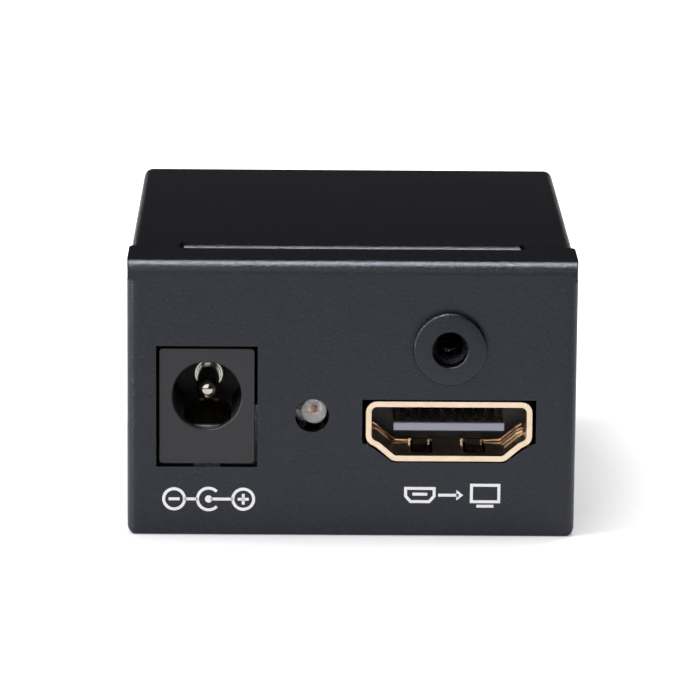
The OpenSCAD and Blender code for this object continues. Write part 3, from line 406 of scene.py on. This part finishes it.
leaf_bronze = mottled_finish("leaf_bronze", (0.62, 0.48, 0.32), (0.78, 0.64, 0.46), 0.5,
                             rough=(0.18, 0.26), depth=0.0004, Metallic=1.0)
leaf_half, leaf_t, leaf_crown = 1.95, 0.25, 0.3
leaf_path = [(1.5, -3.1), (2.2, -2.96), (3.4, -2.62), (4.6, -2.25), (5.6, -1.97), (6.0, -1.87),
             (6.3, -1.86), (6.6, -1.93), (7.2, -2.46), (7.8, -3.05), (8.05, -3.28), (8.3, -3.38),
             (9.2, -3.4)]
shape = bmesh.new()
across = 16
rows = []
for index, (along, drop) in enumerate(leaf_path):
    before = leaf_path[max(index - 1, 0)]
    after = leaf_path[min(index + 1, len(leaf_path) - 1)]
    run = Vector((after[0] - before[0], after[1] - before[1])).normalized()
    crown = leaf_crown * max(0.0, min(1.0, (8.0 - along) / 1.5, (along - 1.2) / 1.0))
    top, bottom = [], []
    for step in range(across + 1):
        share = 2 * step / across - 1
        sink = crown * share * share
        for row, half in ((top, leaf_t / 2), (bottom, -leaf_t / 2)):
            row.append(shape.verts.new((
                share * leaf_half * MM, (along - run.y * half) * MM,
                (drop + run.x * half - sink) * MM)))
    rows.append(top + list(reversed(bottom)))
count = len(rows[0])
for here, there in zip(rows, rows[1:]):
    for step in range(count):
        after = (step + 1) % count
        shape.faces.new((here[step], here[after], there[after], there[step]))
shape.faces.new(rows[0])
shape.faces.new(list(reversed(rows[-1])))
bmesh.ops.recalc_face_normals(shape, faces=shape.faces)
leaf = piece_from("jack_sprung_leaf", shape)
placed(leaf, jack_place, leaf_bronze, "jack_leaf")
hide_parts("jack_leaf")

tin = mottled_finish("tin_plate", (0.55, 0.55, 0.56), (0.7, 0.7, 0.71), 0.2,
                     rough=(0.25, 0.4), depth=0.001, Metallic=1.0)
for node in ("jack_pin_terminal", "jack_leaf_terminal", "jack_switch_terminal"):
    dress(node, tin)

# Indicator: a clear epoxy lens with a domed end, cast over a tinned lead frame and a silvered
# cup, in which the amber die sits with its bond wire.
lens_place = Vector((-3.6, -22.2, 11.25)) * MM
lens_r = 1.5
lens_epoxy, tree, shader = bare_finish(
    "lens_epoxy", Base_Color=(0.97, 0.985, 1, 1), Roughness=0.02, Transmission_Weight=1.0, IOR=1.5)
ripple = sized_noise(tree, 0.8 * MM, 1.0)
tree.links.new(bumped(tree, ripple, 0.003 * MM), shader.inputs["Normal"])
lens_rings = [
    (lens_r * (1 - math.cos(turn)), lens_r * math.sin(turn))
    for turn in (math.pi / 2 * (step / 14) ** 0.8 for step in range(1, 15))]
lens_rings += [
    (3.0, lens_r), (4.3, lens_r), (4.3, 1.86), (4.35, 1.9), (5.25, 1.9), (5.3, 1.86)]
lens = turned("indicator_dome", lens_rings, sides=96)
placed(lens, lens_place, lens_epoxy)
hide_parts("indicator_lens")
dress("indicator_leads", tin)
die_amber = mottled_finish("die_amber", (0.5, 0.2, 0.08), (0.75, 0.36, 0.16), 0.1,
                           rough=(0.3, 0.45))
die_side, die_edge = 0.34, 0.03
shape = bmesh.new()
bmesh.ops.create_cube(shape, size=die_side * MM)
bmesh.ops.bevel(shape, geom=shape.edges[:], offset=die_edge * MM, segments=2, affect="EDGES")
die = piece_from("indicator_die", shape)
placed(die, lens_place + Vector((0.1, 1.62, 0.12)) * MM, die_amber)


cup_silver = mottled_finish("cup_silver", (0.93, 0.94, 0.96), (0.98, 0.98, 1.0), 0.3,
                            rough=(0.2, 0.3), depth=0.001, Metallic=0.12)
cup = turned("indicator_cup", [(1.25, 0.86), (1.3, 0.92), (2.15, 0.6), (2.15, 0.05), (1.85, 0.06),
                               (1.8, 0.3), (1.78, 0.42)], sides=48, closed=True)
placed(cup, lens_place + Vector((0.18, 0, 0.2)) * MM, cup_silver)


def bead(name, points, radius, sides=10, closed=False):
    """A round bead along a line of points, with closed ends."""
    shape = bmesh.new()
    points = [Vector(point) for point in points]
    loops = []
    for index, point in enumerate(points):
        before = points[index - 1] if closed or index else point
        after = points[(index + 1) % len(points)] if closed or index + 1 < len(points) else point
        run = (after - before).normalized()
        side = run.cross(Vector((0.13, 1, 0.07))).normalized()
        rise = run.cross(side).normalized()
        loops.append([
            shape.verts.new((point + (side * math.cos(turn) + rise * math.sin(turn)) * radius) * MM)
            for turn in (2 * math.pi * step / sides for step in range(sides))])
    for here, there in zip(loops, loops[1:] + (loops[:1] if closed else [])):
        for step in range(sides):
            after = (step + 1) % sides
            shape.faces.new((here[step], here[after], there[after], there[step]))
    if not closed:
        shape.faces.new(loops[0])
        shape.faces.new(list(reversed(loops[-1])))
    bmesh.ops.recalc_face_normals(shape, faces=shape.faces)
    return piece_from(name, shape)


bond_gold = mottled_finish("bond_gold", (0.8, 0.55, 0.25), (0.9, 0.65, 0.32), 0.1,
                           rough=(0.2, 0.3), Metallic=1.0)
bond = bead("indicator_bond_wire", [
    (0.1, 1.42, 0.12), (0.0, 1.28, 0.2), (-0.3, 1.3, 0.2), (-0.62, 1.6, 0.1),
    (-0.75, 2.19, 0)], radius=0.03)
placed(bond, lens_place, bond_gold)

# Video ports: each a folded gold-plated shell with a thick rolled rim and raised edges inside, a
# moulded block whose tongue has painted light on its lip, two rows of contacts in painted shade,
# and four spring fingers stamped from the shell.
port_gold = mottled_finish("port_gold", (0.8, 0.61, 0.44), (0.89, 0.73, 0.56), 0.6,
                           rough=(0.14, 0.24), depth=0.0008, Metallic=1.0)
# The contacts take a darker copy of the port gold: painted shade for their place deep in the port.
contact_gold = mottled_finish("contact_gold", (0.36, 0.27, 0.19), (0.5, 0.38, 0.27), 0.3,
                              rough=(0.2, 0.32), depth=0.0005, Metallic=1.0)
port_plastic, tree, shader = bare_finish("port_plastic")
moulded = sized_noise(tree, 0.1 * MM, 3.0)
place = tree.nodes.new("ShaderNodeTexCoord")
parts = tree.nodes.new("ShaderNodeSeparateXYZ")
reach = tree.nodes.new("ShaderNodeMath")
reach.operation = "ABSOLUTE"
# Past the tongue's front edge the plastic turns pale: painted light on the lip's front face, where
# the lamp falls at the port's mouth.
lit_lip_span = (21.72 * MM, 21.76 * MM)
tree.links.new(place.outputs["Object"], parts.inputs[0])
tree.links.new(parts.outputs["Y"], reach.inputs[0])
blend = tree.nodes.new("ShaderNodeMix")
blend.data_type = "RGBA"
tree.links.new(ranged(tree, reach.outputs[0], lit_lip_span, (0, 1)), blend.inputs["Factor"])
tree.links.new(
    ramp(tree, moulded, [(0.3, (0.03, 0.03, 0.036)), (0.7, (0.045, 0.045, 0.053))]),
    blend.inputs["A"])
tree.links.new(
    ramp(tree, moulded, [(0.3, (0.24, 0.24, 0.3)), (0.7, (0.31, 0.31, 0.38))]), blend.inputs["B"])
tree.links.new(blend.outputs["Result"], shader.inputs["Base Color"])
tree.links.new(spread(tree, moulded, 0.35, 0.5), shader.inputs["Roughness"])
tree.links.new(bumped(tree, moulded, 0.003 * MM), shader.inputs["Normal"])
port_lip_y, port_axis_z = 22.4, 9.85
edge_r, knob_r = 0.14, 0.2
inner_edges = (
    ("a", 5.6, [(-6.88, -0.55), (-6.25, -0.93), (-5.45, -1.6), (-4.85, -2.1), (-3.5, -2.16)]),
    ("b", 5.6, [(3.35, -2.16), (4.85, -2.1), (5.45, -1.6), (6.25, -0.93), (6.88, -0.55)]),
    ("c", 3.2, [(5.0, -1.95), (5.62, -1.45), (6.3, -0.9), (6.86, -0.68)]))
knob_places = ((-3.4, -2.12), (-1.6, -2.12), (1.4, -2.12), (3.25, -2.12))
knob_depths = (5.2, 5.3, 5.9)
for side in ("output", "input"):
    break_edges(dress(f"{side}_port_shell", port_gold), 0.13, segments=3)
    break_edges(dress(f"{side}_port_insulator", port_plastic), 0.04)
    for row in ("upper", "lower"):
        dress(f"{side}_port_{row}_contacts", contact_gold)
        dress(f"{side}_port_{row}_springs", port_gold)
    turn = 1 if side == "output" else -1
    middle = Vector((post_x, 0, port_axis_z)) * MM
    for letter, depth, run in inner_edges:
        edge = bead(f"{side}_port_inner_edge_{letter}", [
            (turn * x, turn * (depth - port_lip_y), z) for x, z in run], edge_r)
        placed(edge, middle, port_gold)
    for index, (x, z) in enumerate(knob_places):
        knob = bead(f"{side}_port_knob_{index + 1}", [
            (turn * x, turn * (depth - port_lip_y), z) for depth in knob_depths], knob_r, sides=14)
        placed(knob, middle, port_gold)

# Circuit parts on the board: moulded chips with tinned leads, aluminium cans on plastic bases,
# ceramic and film chips with tinned ends.
epoxy_black = mottled_finish("epoxy_black", (0.012, 0.012, 0.013), (0.024, 0.024, 0.026), 0.1,
                             rough=(0.5, 0.65), depth=0.004)
drawn_can = mottled_finish("drawn_can", (0.62, 0.63, 0.64), (0.76, 0.77, 0.78), 0.4,
                           rough=(0.22, 0.35), Metallic=1.0)
ceramic = mottled_finish("ceramic", (0.36, 0.25, 0.13), (0.46, 0.33, 0.18), 0.15, depth=0.003)
ferrite = mottled_finish("ferrite", (0.022, 0.021, 0.02), (0.04, 0.039, 0.037), 0.12,
                         rough=(0.55, 0.7), depth=0.005)
fuse_glaze = mottled_finish("fuse_glaze", (0.03, 0.12, 0.06), (0.05, 0.17, 0.09), 0.2,
                            rough=(0.3, 0.45))
for material, members in (
        (epoxy_black, ("signal_chip", "regulator", "surge_arrays", "polarity_diode",
                       "reservoir_bases", "chip_resistors")),
        (tin, ("signal_chip_leads", "regulator_leads", "bypass_capacitor_ends",
               "chip_resistor_ends", "polarity_diode_ends")),
        (drawn_can, ("reservoir_capacitors", "timing_crystal")),
        (ceramic, ("bypass_capacitors",)),
        (ferrite, ("power_inductor",)),
        (fuse_glaze, ("input_fuse",))):
    for node in members:
        dress(node, material)

# Panel marks: plain signs in white ink, screen-printed on the coat. Under the jack stands the
# sign for a positive centre pin, under the output port a plug, an arrow and a screen, and under
# the input port an arrow and a plug.
white_ink = mottled_finish("white_ink", (0.78, 0.78, 0.79), (0.86, 0.86, 0.87), 0.18,
                           rough=(0.45, 0.6), depth=0.003)
ink_t = 0.02


def stroke(points, width, closed=False):
    """Faces of a line of even width, as lists of flat points."""
    half = width / 2
    points = [Vector(point) for point in points]
    count = len(points)
    left, right = [], []
    for index, point in enumerate(points):
        before = points[index - 1] if closed or index else None
        after = points[(index + 1) % count] if closed or index + 1 < count else None
        runs = [(point - before).normalized()] if before is not None else []
        runs += [(after - point).normalized()] if after is not None else []
        way = sum(runs, Vector((0, 0))).normalized()
        normal = Vector((-way.y, way.x))
        reach = half / max(0.4, normal.dot(Vector((-runs[0].y, runs[0].x))))
        end = Vector((0, 0))
        if not closed and index in (0, count - 1):
            end = way * (half if index else -half) * 0.6
        left.append(point + end + normal * reach)
        right.append(point + end - normal * reach)
    last = count if closed else count - 1
    return [[left[i], left[(i + 1) % count], right[(i + 1) % count], right[i]]
            for i in range(last)]


def arc(middle, radius, start, end, steps=28):
    """Flat points along an arc, with its angles in degrees."""
    return [(middle[0] + radius * math.cos(math.radians(start + (end - start) * i / steps)),
             middle[1] + radius * math.sin(math.radians(start + (end - start) * i / steps)))
            for i in range(steps + 1)]


def printed(name, faces, middle, face_y, facing):
    """Ink on a panel: faces drawn from the middle of the sign, to the right and up as one looks
    at the panel, on the outer side of the coat."""
    shape = bmesh.new()
    for corners in faces:
        shape.faces.new([
            shape.verts.new(((middle[0] - facing * corner[0]) * MM,
                             (face_y + facing * ink_t) * MM, (middle[1] + corner[1]) * MM))
            for corner in corners])
    bmesh.ops.remove_doubles(shape, verts=shape.verts, dist=0.004 * MM)
    bmesh.ops.recalc_face_normals(shape, faces=shape.faces)
    for face in shape.faces:
        if face.normal.y * facing < 0:
            face.normal_flip()
    sign = piece_from(name, shape, smooth=False)
    layer = sign.modifiers.new("ink_layer", "SOLIDIFY")
    layer.thickness = ink_t * MM
    layer.offset = -1
    sign.data.materials.append(white_ink)
    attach(sign, "root")
    return sign


line = 0.27
ring_r, ring_at = 0.95, 3.15
cross_half, cross_gap, clear = 0.42, 0.14, 0.1
open_ring_r, open_angle, dot_r = 1.02, 48, 0.34
polarity = []
for side in (-1, 1):
    polarity += stroke(arc((side * ring_at, 0), ring_r, 0, 360, 40)[:-1], line, closed=True)
    polarity += stroke([(side * ring_at - cross_half, 0), (side * ring_at + cross_half, 0)], line)
polarity += stroke([(ring_at, -cross_half), (ring_at, -cross_gap)], line)
polarity += stroke([(ring_at, cross_gap), (ring_at, cross_half)], line)
polarity += stroke(arc((0, 0), open_ring_r, open_angle, 360 - open_angle), line)
polarity += stroke([(-ring_at + ring_r + clear, 0), (-1.1, 0)], line)
polarity += stroke([(0.3, 0), (ring_at - ring_r - clear, 0)], line)
polarity.append([Vector(point) for point in arc((0, 0), dot_r, 0, 360, 24)[:-1]])
printed("polarity_sign", polarity, (-12.97, 3.38), -panel_face, -1)


def plug_outline(at):
    """The mouth of the video plug."""
    return [(at - 1.3, 0.62), (at + 1.3, 0.62), (at + 1.3, -0.1), (at + 0.85, -0.62),
            (at - 0.85, -0.62), (at - 1.3, -0.1)]


def flow_sign(plug_at, arrow_from, arrow_to, screen_at):
    """A plug, an arrow and, where its place is given, a screen on its foot."""
    ahead = 1 if arrow_to > arrow_from else -1
    faces = stroke(plug_outline(plug_at), line, closed=True)
    faces += stroke([(plug_at - 0.6, 0.08), (plug_at + 0.6, 0.08)], line)
    faces += stroke([(arrow_from, 0), (arrow_to - ahead * 0.5, 0)], line)
    faces.append([Vector((arrow_to - ahead * 0.62, 0.5)), Vector((arrow_to, 0)),
                  Vector((arrow_to - ahead * 0.62, -0.5))])
    if screen_at is not None:
        faces += stroke([(screen_at - 1.25, 0.95), (screen_at + 1.25, 0.95),
                         (screen_at + 1.25, -0.6), (screen_at - 1.25, -0.6)], line, closed=True)
        faces += stroke([(screen_at - 0.7, -1.02), (screen_at + 0.7, -1.02)], line)
    return faces


printed("output_sign", flow_sign(-3.0, -1.25, 0.95, 2.95), (9.27, 3.87), -panel_face, -1)
printed("input_sign", flow_sign(1.9, -2.4, -0.1, None), (9.0, 3.87), panel_face, 1)
